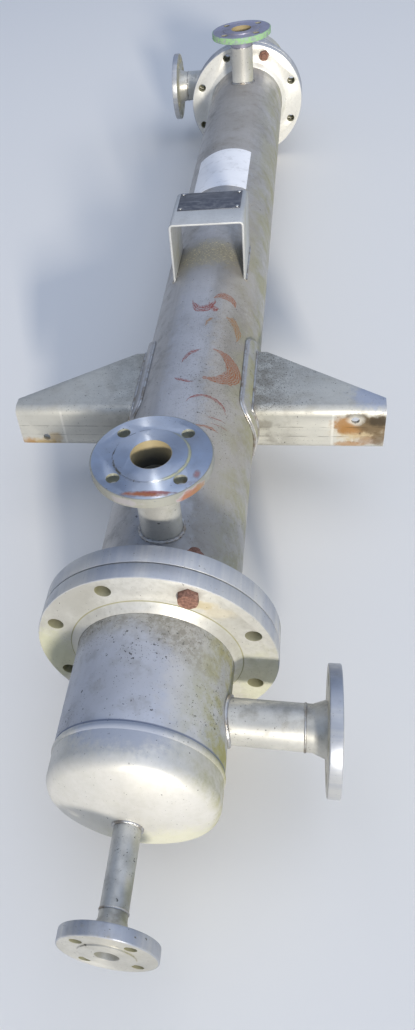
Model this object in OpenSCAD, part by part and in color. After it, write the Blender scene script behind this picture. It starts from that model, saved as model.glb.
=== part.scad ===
// Shell and tube heat exchanger in stainless steel, lying on the rims of its end flanges.
// Millimetres. The vessel axis runs along Y with the near end at minus Y, X points to the
// right as seen from the near end, and Z is up. The origin is on the ground under the middle.

/* [Shell] */
// Outside diameter of the shell and of the bonnet barrels
shell_d = 219.1; // [200:0.1:250]
// Wall of the shell, the barrels and the heads
shell_wall = 4; // [3:0.5:8]
// Length of the shell between its tubesheets
shell_len = 2000; // [1700:10:2600]

/* [End flanges] */
// Width of a flange from the shell wall out to the rim
flange_width = 60.45; // [58:0.05:70]
// Thickness of a bonnet flange
flange_t = 24; // [18:1:32]
// Thickness of a tubesheet, which is also the shell's end flange
tubesheet_t = 28; // [20:1:40]
// Distance from the rim to the bolt circle
bolt_edge = 22.5; // [20:0.5:26]
// Number of bolt holes in an end flange
bolt_count = 8; // [8:4:12]
// Diameter of the bolt holes in an end flange
bolt_hole_d = 22; // [18:0.5:24]
// Leg of the fillet welds that join the end flanges to the shell and barrels
flange_weld = 12; // [6:0.5:12]
// Thickness of the gasket between bonnet flange and tubesheet
gasket_t = 2; // [1:0.5:4]

/* [Bolts] */
// Thread diameter of the bolts in the end flanges
bolt_d = 16; // [12:1:17]
// Width of a bolt head or nut across its flats
bolt_flats = 26; // [20:1:28]
// Height of a bolt head
bolt_head_h = 11; // [6:0.5:14]
// Height of a nut
nut_h = 14; // [8:0.5:18]
// Length of thread that stands out of a nut
bolt_spare = 8; // [2:1:20]

/* [Tubes] */
// Outside diameter of a tube
tube_d = 19; // [12:0.5:20]
// Wall of a tube
tube_wall = 1.5; // [1:0.25:2.5]
// Distance between neighbouring tubes, centre to centre
tube_pitch = 26; // [25:0.5:28]
// Rings of tubes round the middle tube
tube_rings = 3; // [2:1:3]
// How far a tube stands out of each tubesheet
tube_end = 3; // [1:0.5:6]

/* [Bonnets] */
// Barrel of the near bonnet, from its flange face to the head seam
near_barrel_len = 172; // [160:1:260]
// Barrel of the far bonnet, from its flange face to the head seam
far_barrel_len = 232; // [210:1:320]
// Straight edge of a dished head
head_edge = 32; // [10:1:45]
// Knuckle radius of a dished head
head_knuckle = 21.9; // [12:0.1:40]
// Height of the weld bead over the head seam
seam_rise = 1.2; // [0.5:0.1:2.5]
// Width of the weld bead over the head seam
seam_width = 9; // [4:0.5:14]

/* [Nozzles on the shell] */
// Outside diameter of the two top pipes
top_pipe_d = 60.3; // [48.3:0.1:70]
// Height of the top nozzle faces over the shell wall
top_reach = 140.5; // [110:0.5:220]
// Distance from the near tubesheet to the near top nozzle, along the shell
near_top_inset = 88; // [84:1:200]
// Distance from the far tubesheet to the far top nozzle, along the shell
far_top_inset = 124; // [84:1:200]

/* [Side nozzles on the bonnets] */
// Outside diameter of the near side pipe
near_side_pipe_d = 60.3; // [48.3:0.1:70]
// Outside diameter of the far side pipe
far_side_pipe_d = 88.9; // [76.1:0.1:95]
// Distance of the side nozzle faces from the barrel wall
side_reach = 140.5; // [110:0.5:220]
// Distance from the near bonnet flange to its side nozzle
near_side_inset = 94; // [88:1:110]
// Distance from the far bonnet flange to its side nozzle
far_side_inset = 146; // [125:1:150]

/* [End nozzles] */
// Outside diameter of the pipes on the dished heads
end_pipe_d = 33.7; // [26.9:0.1:42.4]
// Distance of the end nozzle faces from the tips of the heads
end_reach = 139; // [110:1:240]

/* [Nozzle flanges] */
// Wall of the nozzle pipes
pipe_wall = 2.9; // [2:0.1:5]
// Thickness of a nozzle flange with its raised face
nozzle_flange_t = 18; // [14:1:24]
// Height of the raised face
raised_t = 2; // [1:0.5:3]
// Width of the small flanges on the end pipes, from pipe to rim
small_flange_width = 40.65; // [38:0.05:50]
// Width of the large flange on the far side pipe, from pipe to rim
large_flange_width = 55.55; // [52:0.05:62]
// Width of the other nozzle flanges, from pipe to rim
nozzle_flange_width = 52.35; // [50:0.05:60]
// Distance from the rim to the bolt circle on the small flanges
small_bolt_edge = 15; // [14:0.5:17]
// Distance from the rim to the bolt circle on the other nozzle flanges
nozzle_bolt_edge = 20; // [18:0.5:22]
// Bolt holes of the small flanges
small_hole_d = 14; // [10:0.5:15]
// Bolt holes of the other nozzle flanges
nozzle_hole_d = 18; // [12:0.5:19]
// How much wider than the pipe the neck is where it meets the flange
neck_flare = 14; // [6:1:16]
// Length of the weld neck behind a nozzle flange
neck_len = 27; // [20:1:35]

/* [Support lugs] */
// Span across the outer ends of the two lugs
lug_span = 664; // [560:4:800]
// Height of a lug
lug_h = 92; // [60:1:110]
// Plate thickness of the lugs
lug_plate = 6; // [4:0.5:10]
// Outside radius of the bends
lug_bend = 16; // [10.5:0.5:20]
// Distance from the near tubesheet to the bearing faces of the lugs
lug_inset = 428; // [300:1:900]
// Depth of a lug at the shell
lug_depth = 171; // [120:1:240]
// Depth of a lug at its outer end
lug_tip_depth = 32; // [24:1:60]
// Length of the full depth part beside the shell, from the axis
lug_root = 125; // [122:1:160]
// Diameter of the bolt hole in a lug
lug_hole_d = 14; // [9:0.5:22]
// Distance of that hole from the outer end
lug_hole_end = 50; // [30:1:80]
// Distance of that hole from the nearer long edge
lug_hole_edge = 24; // [18:1:30]

/* [Lug pads] */
// Thickness of the curved pads under the lugs
pad_t = 6; // [4:0.5:10]
// Width of a pad up the side of the shell, as a straight height
pad_h = 136; // [120:1:180]
// Margin of a pad beyond the lug at both ends
pad_margin = 28; // [15:1:60]
// Corner radius of a pad
pad_corner = 30; // [10:1:40]

/* [Nameplate bracket] */
// Width of the bracket
bracket_w = 148; // [110:1:170]
// Length of the bracket along the shell
bracket_len = 137; // [80:1:200]
// Height of the bracket over the top of the shell
bracket_rise = 100; // [50:1:140]
// Plate thickness of the bracket
bracket_t = 4; // [2:0.5:6]
// Outside bend radius of the bracket
bracket_bend = 9; // [7:0.5:16]
// Distance from the near tubesheet to the bracket
bracket_inset = 799; // [700:1:1100]
// Length of the nameplate
plate_len = 76; // [40:1:78]
// Thickness of the nameplate
plate_t = 1; // [0.5:0.25:3]
// Margin round the nameplate on three sides
plate_margin = 3; // [2:0.5:10]

/* [Fits] */
// Clearance between round pieces that are welded or passed together
fit_gap = 0.3; // [0.2:0.05:0.5]

/* [Hidden] */
$fn = 96;

steel = "#c9c8c2";
dull_steel = "#b4b4b0";
rust = "#7a4a34";
dark = "#2c2a2c";

// Radii of the shell and of the end flanges
shell_r = shell_d / 2;
inner_r = shell_r - shell_wall;
flange_r = shell_r + flange_width;
bolt_circle_r = flange_r - bolt_edge;
gasket_r = bolt_circle_r - bolt_hole_d / 2 - fit_gap;
axis_h = flange_r;

// Places along the axis, counted from the face of the near bonnet flange
near_sheet = flange_t + gasket_t;
near_shell = near_sheet + tubesheet_t;
far_shell = near_shell + shell_len;
far_sheet = far_shell + tubesheet_t;
far_face = far_sheet + gasket_t + flange_t;

// Dished head: crown radius equal to the diameter, and the two tangent arcs
head_crown = shell_d;
crown_drop = sqrt(pow(head_crown - head_knuckle, 2) - pow(shell_r - head_knuckle, 2));
tangent_angle = atan2(crown_drop, shell_r - head_knuckle);
head_tip = head_edge + head_crown - crown_drop;

// The ends of the whole vessel, and the offset that centres it on the origin
near_end = -(near_barrel_len + head_tip + end_reach);
far_end = far_face + far_barrel_len + head_tip + end_reach;
y_shift = -(near_end + far_end) / 2;

// Each end flange has two bolts, the first of them at the upper right, the other opposite
bolt_angle = 180 / bolt_count * 3;
bolt_grip = flange_t + gasket_t + tubesheet_t;
bolt_chamfer = 1.5;

// Overlap of cutting tools past the face that they cut
cut = 1;
// How far the barrel end stays back from the gasket
barrel_setback = 5;
// Opening round a nozzle pipe inside the vessel
seat_overlap = 0.5;

// Frames: local z runs along the vessel axis, towards the far end or towards the near end
module towards_far(y) {
    translate([0, y + y_shift, axis_h]) rotate([-90, 0, 0]) children();
}

module towards_near(y) {
    translate([0, y + y_shift, axis_h]) rotate([90, 0, 0]) children();
}

// Frames for nozzles: local z points out of the vessel from its axis
module upwards(y) {
    translate([0, y + y_shift, axis_h]) children();
}

module sideways(y, side) {
    translate([0, y + y_shift, axis_h]) rotate([0, 90 * side, 0]) children();
}

// Copies a shape round a circle of holes, the first one half a step from the x axis
module round_pattern(count, radius) {
    for (i = [0 : count - 1]) {
        rotate([0, 0, (i + 0.5) * 360 / count]) translate([radius, 0, 0]) children();
    }
}

// Centres of the tubes on a triangular pitch, ring by ring round the middle tube
function tube_centres(rings, pitch) = [
    for (a = [-rings : rings], b = [-rings : rings])
        if (abs(a + b) <= rings) [pitch * (a + b / 2), pitch * b * sqrt(3) / 2]
];

// Points of an arc from one angle to another
function arc(centre, r, from, to, steps) = [
    for (i = [0 : steps]) centre + r * [
        cos(from + (to - from) * i / steps),
        sin(from + (to - from) * i / steps)
    ]
];

// Half outline of a dished head from its rim up to the tip, set in by a wall
function head_outline(wall) = concat(
    [[shell_r - wall, 0]],
    arc([shell_r - head_knuckle, head_edge], head_knuckle - wall, 0, tangent_angle, 12),
    arc([0, head_edge - crown_drop], head_crown - wall, tangent_angle, 90, 12)
);

// Fillet weld ring round a pipe that stands on a flange face
module weld_ring(r, leg) {
    rotate_extrude() polygon([[r, 0], [r + leg, 0], [r, leg]]);
}

// End flange or tubesheet blank with its bolt holes
module end_disc(t) {
    difference() {
        cylinder(r = flange_r, h = t);
        translate([0, 0, -cut]) round_pattern(bolt_count, bolt_circle_r) {
            cylinder(d = bolt_hole_d, h = t + 2 * cut, $fn = 48);
        }
    }
}

// Bonnet flange: slipped over the barrel, with its weld on the outer face at z = 0
module bonnet_flange() {
    difference() {
        union() {
            end_disc(flange_t);
            mirror([0, 0, 1]) weld_ring(shell_r + fit_gap, flange_weld);
        }
        translate([0, 0, -flange_weld - cut]) {
            cylinder(r = shell_r + fit_gap, h = flange_t + flange_weld + 2 * cut);
        }
    }
}

// Tubesheet: bolted to the bonnet at z = 0, welded to the shell on the other face
module tubesheet() {
    difference() {
        end_disc(tubesheet_t);
        for (p = tube_centres(tube_rings, tube_pitch)) {
            translate([p.x, p.y, -cut]) {
                cylinder(d = tube_d + 2 * fit_gap, h = tubesheet_t + 2 * cut, $fn = 48);
            }
        }
    }
    translate([0, 0, tubesheet_t]) weld_ring(shell_r + fit_gap, flange_weld);
}

module gasket() {
    difference() {
        cylinder(r = gasket_r, h = gasket_t);
        translate([0, 0, -cut]) cylinder(r = inner_r, h = gasket_t + 2 * cut);
    }
}

// Barrel of a bonnet: z = 0 at the flange face, the tail reaches into the flange
module bonnet_barrel(len, pipe_d, inset, side) {
    tail = flange_t - barrel_setback;
    difference() {
        translate([0, 0, -tail]) cylinder(r = shell_r, h = len + tail);
        translate([0, 0, -tail - cut]) cylinder(r = inner_r, h = len + tail + 2 * cut);
        translate([0, 0, inset]) rotate([0, 90 * side, 0]) {
            cylinder(d = pipe_d + 2 * fit_gap, h = shell_r + cut, $fn = 64);
        }
    }
}

// Dished head with its seam bead: z = 0 at the seam
module dished_head() {
    difference() {
        union() {
            rotate_extrude() polygon(concat([[0, 0]], head_outline(0)));
            seam_bead();
        }
        rotate_extrude() {
            polygon(concat([[0, -cut], [inner_r, -cut]], head_outline(shell_wall)));
        }
        translate([0, 0, head_edge]) {
            cylinder(d = end_pipe_d + 2 * fit_gap, h = head_tip, $fn = 48);
        }
    }
}

// Rounded bead that covers the seam between barrel and head
module seam_bead() {
    bead_r = (pow(seam_width / 2, 2) + pow(seam_rise, 2)) / (2 * seam_rise);
    half_angle = asin(seam_width / 2 / bead_r);
    rotate_extrude() polygon(concat(
        [[shell_r + fit_gap, seam_width / 2], [shell_r - 1, seam_width / 2]],
        [[shell_r - 1, 0], [shell_r + fit_gap, 0], [shell_r + fit_gap, -seam_width / 2]],
        arc([shell_r + fit_gap + seam_rise - bead_r, 0], bead_r, -half_angle, half_angle, 6)
    ));
}

// Nozzle pipe from the inside of the vessel out to the weld neck, along z
module nozzle_pipe(pipe_d, out) {
    difference() {
        cylinder(d = pipe_d, h = out, $fn = 64);
        translate([0, 0, -cut]) {
            cylinder(d = pipe_d - 2 * pipe_wall, h = out + 2 * cut, $fn = 64);
        }
        rotate([90, 0, 0]) cylinder(r = inner_r, h = 2 * shell_d, center = true);
    }
}

// Weld neck flange: its face is at z = 0 and the neck points down
module neck_flange(pipe_d, width, edge, holes, hole_d) {
    pipe_r = pipe_d / 2;
    rim_r = pipe_r + width;
    raised_r = rim_r - edge - hole_d / 2 - 2.5;
    neck_r = pipe_r + neck_flare / 2;
    straight = neck_len / 3;
    bottom = -nozzle_flange_t - neck_len;
    difference() {
        rotate_extrude() polygon([
            [pipe_r - pipe_wall, 0], [raised_r, 0], [raised_r, -raised_t],
            [rim_r - 1, -raised_t], [rim_r, -raised_t - 1],
            [rim_r, -nozzle_flange_t + 1], [rim_r - 1, -nozzle_flange_t],
            [neck_r, -nozzle_flange_t], [pipe_r, bottom + straight],
            [pipe_r, bottom], [pipe_r - pipe_wall, bottom]
        ]);
        translate([0, 0, -nozzle_flange_t - cut]) round_pattern(holes, rim_r - edge) {
            cylinder(d = hole_d, h = nozzle_flange_t + 2 * cut, $fn = 48);
        }
    }
}

// Distance from the vessel axis to the weld neck of a nozzle
function neck_foot(face) = face - nozzle_flange_t - neck_len;

// Bent channel lug, pointing to plus X: web at y = 0, gussets at its top and bottom edges
module lug_channel() {
    reach = lug_span / 2;
    intersection() {
        channel_section(reach);
        translate([0, 0, -lug_h]) linear_extrude(2 * lug_h) polygon([
            [0, -cut], [reach, -cut], [reach, lug_tip_depth],
            [lug_root, lug_depth], [0, lug_depth]
        ]);
    }
}

// Channel with rounded bends, swept along X
module channel_section(length) {
    inner_bend = lug_bend - lug_plate;
    half = lug_h / 2;
    difference() {
        rounded_front(length, half, lug_bend, 0);
        translate([-cut, 0, 0]) {
            rounded_front(length + 2 * cut, half - lug_plate, inner_bend, lug_plate);
        }
    }
}

// Bar along X whose two front edges are round, from y = front back past the lug depth
module rounded_front(length, half, r, front) {
    back = lug_depth + 3 * cut;
    translate([0, front + r, -half]) cube([length, back - front, 2 * half]);
    translate([0, front, -half + r]) cube([length, r + cut, 2 * (half - r)]);
    for (z = [-1, 1]) translate([0, front + r, z * (half - r)]) rotate([0, 90, 0]) {
        cylinder(r = r, h = length, $fn = 48);
    }
}

// Right hand lug: channel fitted to its pad, with its bolt hole near the top edge
module support_lug() {
    hole_x = lug_span / 2 - lug_hole_end;
    hole_z = lug_h / 2 - lug_hole_edge;
    difference() {
        lug_channel();
        translate([0, -cut, 0]) rotate([-90, 0, 0]) {
            cylinder(r = shell_r + pad_t + 2 * fit_gap, h = lug_depth + 3 * cut);
        }
        translate([hole_x, -cut, hole_z]) rotate([-90, 0, 0]) {
            cylinder(d = lug_hole_d, h = lug_plate + 2 * cut, $fn = 48);
        }
    }
}

// Curved pad with round corners on the right hand side of the shell
module lug_pad() {
    len = lug_depth + 2 * pad_margin;
    intersection() {
        translate([0, -pad_margin, 0]) rotate([-90, 0, 0]) difference() {
            cylinder(r = shell_r + fit_gap + pad_t, h = len);
            translate([0, 0, -cut]) cylinder(r = shell_r + fit_gap, h = len + 2 * cut);
        }
        translate([0, -pad_margin, -pad_h / 2]) round_bar(shell_d, len, pad_h, pad_corner);
    }
}

// Bar along X with a rectangular section in Y and Z whose corners are round
module round_bar(length, w, h, r) {
    translate([0, r, 0]) cube([length, w - 2 * r, h]);
    translate([0, 0, r]) cube([length, w, h - 2 * r]);
    for (y = [r, w - r], z = [r, h - r]) translate([0, y, z]) rotate([0, 90, 0]) {
        cylinder(r = r, h = length, $fn = 64);
    }
}

// Bridge shaped bracket: two legs down to the shell and a flat top, bent from one plate
module bracket() {
    top = shell_r + bracket_rise;
    difference() {
        bracket_bar(bracket_w, bracket_len, top, bracket_bend);
        translate([0, -cut, 0]) {
            bracket_bar(bracket_w - 2 * bracket_t, bracket_len + 2 * cut, top - bracket_t,
                bracket_bend - bracket_t);
        }
        translate([0, -cut, 0]) rotate([-90, 0, 0]) {
            cylinder(r = shell_r + fit_gap, h = bracket_len + 2 * cut);
        }
    }
}

// Bar along Y from the axis up to a top with two round upper edges
module bracket_bar(w, len, top, r) {
    translate([-w / 2, 0, 0]) cube([w, len, top - r]);
    translate([-w / 2 + r, 0, 0]) cube([w - 2 * r, len, top]);
    for (x = [-1, 1]) translate([x * (w / 2 - r), 0, top - r]) rotate([-90, 0, 0]) {
        cylinder(r = r, h = len, $fn = 48);
    }
}

// Hexagon with its corners turned off, as on a bolt head or nut
module hex_block(h) {
    corner_r = bolt_flats / 2 / cos(30);
    intersection() {
        cylinder(r = corner_r, h = h, $fn = 6);
        cylinder(r1 = corner_r, r2 = corner_r - bolt_chamfer, h = h);
    }
}

// Bolts at the two places that still hold one: heads on the bonnet flange at z = 0. The
// side is 1 where local y points up, and -1 where it points down. The heads stand corner up
module flange_bolts(side) {
    for (a = [0, 180]) rotate([0, 0, side * bolt_angle + a]) translate([bolt_circle_r, 0, 0]) {
        rotate([0, 0, 30 - side * bolt_angle]) mirror([0, 0, 1]) hex_block(bolt_head_h);
        cylinder(d = bolt_d, h = bolt_grip + nut_h + bolt_spare, $fn = 48);
    }
}

// Nuts on the shell side of the tubesheet
module flange_nuts(side) {
    for (a = [0, 180]) rotate([0, 0, side * bolt_angle + a]) {
        translate([bolt_circle_r, 0, bolt_grip]) difference() {
            hex_block(nut_h);
            translate([0, 0, -cut]) {
                cylinder(d = bolt_d + 2 * fit_gap, h = nut_h + 2 * cut, $fn = 48);
            }
        }
    }
}

// Hole in the shell for a top pipe
module top_pipe_hole() {
    cylinder(d = top_pipe_d + 2 * fit_gap, h = shell_r + cut, $fn = 64);
}

// Shell pipe, butted between the tubesheets, with its two nozzle holes
module shell() color(steel) {
    difference() {
        towards_far(near_shell) difference() {
            cylinder(r = shell_r, h = shell_len);
            translate([0, 0, -cut]) cylinder(r = inner_r, h = shell_len + 2 * cut);
        }
        upwards(near_shell + near_top_inset) top_pipe_hole();
        upwards(far_shell - far_top_inset) top_pipe_hole();
    }
}

module near_tubesheet() color(steel) towards_far(near_sheet) tubesheet();
module far_tubesheet() color(steel) towards_near(far_sheet) tubesheet();

// Tubes through both tubesheets, open at their ends
module tube_bundle() color(dull_steel) towards_far(near_sheet - tube_end) {
    len = shell_len + 2 * (tubesheet_t + tube_end);
    for (p = tube_centres(tube_rings, tube_pitch)) translate([p.x, p.y, 0]) difference() {
        cylinder(d = tube_d, h = len, $fn = 32);
        translate([0, 0, -cut]) cylinder(d = tube_d - 2 * tube_wall, h = len + 2 * cut, $fn = 32);
    }
}

module near_gasket() color(dark) towards_far(flange_t) gasket();
module far_gasket() color(dark) towards_far(far_sheet) gasket();

module near_bonnet_flange() color(steel) towards_far(0) bonnet_flange();
module far_bonnet_flange() color(steel) towards_near(far_face) bonnet_flange();

module near_bonnet_barrel() color(steel) towards_near(0) {
    bonnet_barrel(near_barrel_len, near_side_pipe_d, near_side_inset, 1);
}

module far_bonnet_barrel() color(steel) towards_far(far_face) {
    bonnet_barrel(far_barrel_len, far_side_pipe_d, far_side_inset, -1);
}

module near_head() color(steel) towards_near(-near_barrel_len) dished_head();
module far_head() color(steel) towards_far(far_face + far_barrel_len) dished_head();

// Pipe on the tip of a head: z = 0 at the head seam
module end_pipe() {
    start = head_tip - shell_wall;
    difference() {
        translate([0, 0, start]) {
            cylinder(d = end_pipe_d, h = neck_foot(head_tip + end_reach) - start, $fn = 48);
        }
        cylinder(d = end_pipe_d - 2 * pipe_wall, h = head_tip + end_reach, $fn = 48);
    }
}

module end_flange() {
    translate([0, 0, head_tip + end_reach]) {
        neck_flange(end_pipe_d, small_flange_width, small_bolt_edge, 4, small_hole_d);
    }
}

module near_end_pipe() color(steel) towards_near(-near_barrel_len) end_pipe();
module far_end_pipe() color(steel) towards_far(far_face + far_barrel_len) end_pipe();
module near_end_flange() color(steel) towards_near(-near_barrel_len) end_flange();
module far_end_flange() color(steel) towards_far(far_face + far_barrel_len) end_flange();

module near_side_pipe() color(steel) sideways(-near_side_inset, 1) {
    nozzle_pipe(near_side_pipe_d, neck_foot(shell_r + side_reach));
}

module far_side_pipe() color(steel) sideways(far_face + far_side_inset, -1) {
    nozzle_pipe(far_side_pipe_d, neck_foot(shell_r + side_reach));
}

module near_side_flange() color(steel) sideways(-near_side_inset, 1) {
    translate([0, 0, shell_r + side_reach]) {
        neck_flange(near_side_pipe_d, nozzle_flange_width, nozzle_bolt_edge, 4, nozzle_hole_d);
    }
}

module far_side_flange() color(steel) sideways(far_face + far_side_inset, -1) {
    translate([0, 0, shell_r + side_reach]) {
        neck_flange(far_side_pipe_d, large_flange_width, nozzle_bolt_edge, 8, nozzle_hole_d);
    }
}

module top_pipe() nozzle_pipe(top_pipe_d, neck_foot(shell_r + top_reach));

module top_flange() translate([0, 0, shell_r + top_reach]) {
    neck_flange(top_pipe_d, nozzle_flange_width, nozzle_bolt_edge, 4, nozzle_hole_d);
}

module near_top_pipe() color(steel) upwards(near_shell + near_top_inset) top_pipe();
module far_top_pipe() color(steel) upwards(far_shell - far_top_inset) top_pipe();
module near_top_flange() color(steel) upwards(near_shell + near_top_inset) top_flange();
module far_top_flange() color(steel) upwards(far_shell - far_top_inset) top_flange();

// The left lug is the right one turned half a turn about the vessel axis
module right_lug_pad() color(steel) upwards(near_shell + lug_inset) lug_pad();
module left_lug_pad() color(steel) upwards(near_shell + lug_inset) rotate([0, 180, 0]) lug_pad();
module right_lug() color(steel) upwards(near_shell + lug_inset) support_lug();
module left_lug() color(steel) upwards(near_shell + lug_inset) rotate([0, 180, 0]) support_lug();

module nameplate_bracket() color(steel) upwards(near_shell + bracket_inset) bracket();

// Plain dark plate on the far part of the bracket's top
module nameplate() color(dark) upwards(near_shell + bracket_inset) {
    w = bracket_w - 2 * (bracket_bend + plate_margin / 2);
    translate([-w / 2, bracket_len - plate_margin - plate_len, shell_r + bracket_rise]) {
        cube([w, plate_len, plate_t]);
    }
}

module near_bolts() color(rust) towards_far(0) flange_bolts(-1);
module far_bolts() color(rust) towards_near(far_face) flange_bolts(1);
module near_nuts() color(rust) towards_far(0) flange_nuts(-1);
module far_nuts() color(rust) towards_near(far_face) flange_nuts(1);

shell();
near_tubesheet();
far_tubesheet();
tube_bundle();
near_gasket();
far_gasket();
near_bonnet_flange();
far_bonnet_flange();
near_bonnet_barrel();
far_bonnet_barrel();
near_head();
far_head();
near_end_pipe();
far_end_pipe();
near_end_flange();
far_end_flange();
near_side_pipe();
far_side_pipe();
near_side_flange();
far_side_flange();
near_top_pipe();
far_top_pipe();
near_top_flange();
far_top_flange();
left_lug_pad();
right_lug_pad();
left_lug();
right_lug();
nameplate_bracket();
nameplate();
near_bolts();
far_bolts();
near_nuts();
far_nuts();
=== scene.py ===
# Stainless steel shell and tube heat exchanger, finished piece by piece round its CAD frame.
import math

import bpy
from mathutils import Matrix, Vector


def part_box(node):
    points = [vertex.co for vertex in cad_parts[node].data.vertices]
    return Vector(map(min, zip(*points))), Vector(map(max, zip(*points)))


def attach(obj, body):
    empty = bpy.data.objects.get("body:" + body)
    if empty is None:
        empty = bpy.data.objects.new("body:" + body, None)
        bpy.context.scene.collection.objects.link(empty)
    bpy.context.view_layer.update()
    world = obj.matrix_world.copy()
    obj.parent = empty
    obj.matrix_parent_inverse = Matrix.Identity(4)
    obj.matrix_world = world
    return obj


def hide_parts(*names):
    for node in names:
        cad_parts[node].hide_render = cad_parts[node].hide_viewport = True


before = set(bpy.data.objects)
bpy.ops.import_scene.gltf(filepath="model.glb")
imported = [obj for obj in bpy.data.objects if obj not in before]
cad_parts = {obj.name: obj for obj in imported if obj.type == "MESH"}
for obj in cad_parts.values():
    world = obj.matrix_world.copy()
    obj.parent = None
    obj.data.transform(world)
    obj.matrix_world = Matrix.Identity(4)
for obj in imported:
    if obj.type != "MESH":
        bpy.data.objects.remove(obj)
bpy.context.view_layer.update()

bpy.ops.object.select_all(action="DESELECT")

# Camera: about a metre over the near end and a little to its right, looking down along the
# vessel. Its place is in metres from the face of the near bonnet flange and the vessel axis.
IMAGE_WIDTH = 415
IMAGE_HEIGHT = 1030
FOCAL_PIXELS = 809.7
OPTICAL_CENTRE = (114.6, 484.5)
CAMERA_PLACE = Vector((0.1928, -0.6290, 0.9603))
CAMERA_YAW = -0.3138
CAMERA_PITCH = -0.7584
CAMERA_ROLL = -0.1973
SENSOR_WIDTH = 36
FARTHEST_SEEN = 50
FLANGE_THICKNESS = 0.024
near_face_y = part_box("near_gasket")[0][1] - FLANGE_THICKNESS
axis_z = sum(corner[2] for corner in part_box("shell")) / 2

camera_data = bpy.data.cameras.new("camera")
camera_data.sensor_width = SENSOR_WIDTH
camera_data.lens = FOCAL_PIXELS / IMAGE_HEIGHT * SENSOR_WIDTH
camera_data.shift_x = (IMAGE_WIDTH / 2 - OPTICAL_CENTRE[0]) / IMAGE_HEIGHT
camera_data.shift_y = (OPTICAL_CENTRE[1] - IMAGE_HEIGHT / 2) / IMAGE_HEIGHT
camera_data.clip_end = FARTHEST_SEEN
camera = bpy.data.objects.new("camera", camera_data)
bpy.context.collection.objects.link(camera)
camera.matrix_world = (Matrix.Translation(CAMERA_PLACE + Vector((0, near_face_y, axis_z)))
                       @ Matrix.Rotation(-CAMERA_YAW, 4, "Z")
                       @ Matrix.Rotation(math.pi / 2 + CAMERA_PITCH, 4, "X")
                       @ Matrix.Rotation(CAMERA_ROLL, 4, "Z"))
bpy.context.scene.camera = camera
bpy.context.scene.view_settings.view_transform = "Standard"

# Studio: a plain pale floor and a white surround. A soft lamp stands low and far off at the
# front right, and a wide one hangs overhead. The light that comes from the surround itself is
# bluish, greyer near the ground and dimmer on the left.
FLOOR_HALF_WIDTH = 14
FLOOR_GREY = (0.84, 0.82, 0.775, 1)
FLOOR_DROP = 0.0005
LAMP_AIM = Vector((0, -0.2, 0.2))
LAMPS = (
    # name, place, size, watts, colour
    ("key_lamp", (6.6, -24.2, 5.9), 2.2, 7000, (1.0, 0.95, 0.86)),
    ("fill_lamp", (0.5, -0.2, 5.0), 5.0, 55, (1.0, 0.98, 0.95)),
)
LOW_LIGHT = (0.46, 0.47, 0.49, 1)
HIGH_LIGHT = (0.34, 0.44, 0.66, 1)
HIGH_FROM = 0.6
LEFT_STRENGTH, RIGHT_STRENGTH = 0.55, 1.12
LEFT_END, RIGHT_END = -1.0, 0.5

bpy.ops.mesh.primitive_plane_add(size=2 * FLOOR_HALF_WIDTH, location=(0, 0, -FLOOR_DROP))
floor = bpy.context.object
floor.name = "floor"
floor_finish = bpy.data.materials.new("pale_floor")
floor_finish.use_nodes = True
floor_shader = floor_finish.node_tree.nodes["Principled BSDF"]
floor_shader.inputs["Base Color"].default_value = FLOOR_GREY
floor_shader.inputs["Roughness"].default_value = 0.9
floor_shader.inputs["Specular IOR Level"].default_value = 0.2
floor.data.materials.append(floor_finish)
floor.select_set(False)

for name, place, size, watts, colour in LAMPS:
    light = bpy.data.lights.new(name, "AREA")
    light.shape = "SQUARE"
    light.size = size
    light.energy = watts
    light.color = colour
    lamp = bpy.data.objects.new(name, light)
    lamp.location = place
    lamp.rotation_euler = (LAMP_AIM - lamp.location).to_track_quat("-Z", "Y").to_euler()
    bpy.context.collection.objects.link(lamp)

world = bpy.data.worlds.new("surround")
bpy.context.scene.world = world
world.use_nodes = True
sky = world.node_tree
sky.nodes.clear()
sky_coords = sky.nodes.new("ShaderNodeTexCoord")
sky_split = sky.nodes.new("ShaderNodeSeparateXYZ")
sky_ramp = sky.nodes.new("ShaderNodeValToRGB")
low_stop, high_stop = sky_ramp.color_ramp.elements
low_stop.position, low_stop.color = 0.0, LOW_LIGHT
high_stop.position, high_stop.color = HIGH_FROM, HIGH_LIGHT
sky_light = sky.nodes.new("ShaderNodeBackground")
sky_side = sky.nodes.new("ShaderNodeMapRange")
side_range = (LEFT_END, RIGHT_END, LEFT_STRENGTH, RIGHT_STRENGTH)
for socket, number in zip(sky_side.inputs[1:5], side_range):
    socket.default_value = number
sky_white = sky.nodes.new("ShaderNodeBackground")
sky_white.inputs["Color"].default_value = (1, 1, 1, 1)
sky_path = sky.nodes.new("ShaderNodeLightPath")
sky_mix = sky.nodes.new("ShaderNodeMixShader")
sky_out = sky.nodes.new("ShaderNodeOutputWorld")
for output, socket in (
        (sky_coords.outputs["Generated"], sky_split.inputs[0]),
        (sky_split.outputs["Z"], sky_ramp.inputs["Fac"]),
        (sky_split.outputs["X"], sky_side.inputs["Value"]),
        (sky_side.outputs["Result"], sky_light.inputs["Strength"]),
        (sky_ramp.outputs["Color"], sky_light.inputs["Color"]),
        (sky_path.outputs["Is Camera Ray"], sky_mix.inputs["Fac"]),
        (sky_light.outputs[0], sky_mix.inputs[1]),
        (sky_white.outputs[0], sky_mix.inputs[2]),
        (sky_mix.outputs[0], sky_out.inputs["Surface"])):
    sky.links.new(output, socket)

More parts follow.
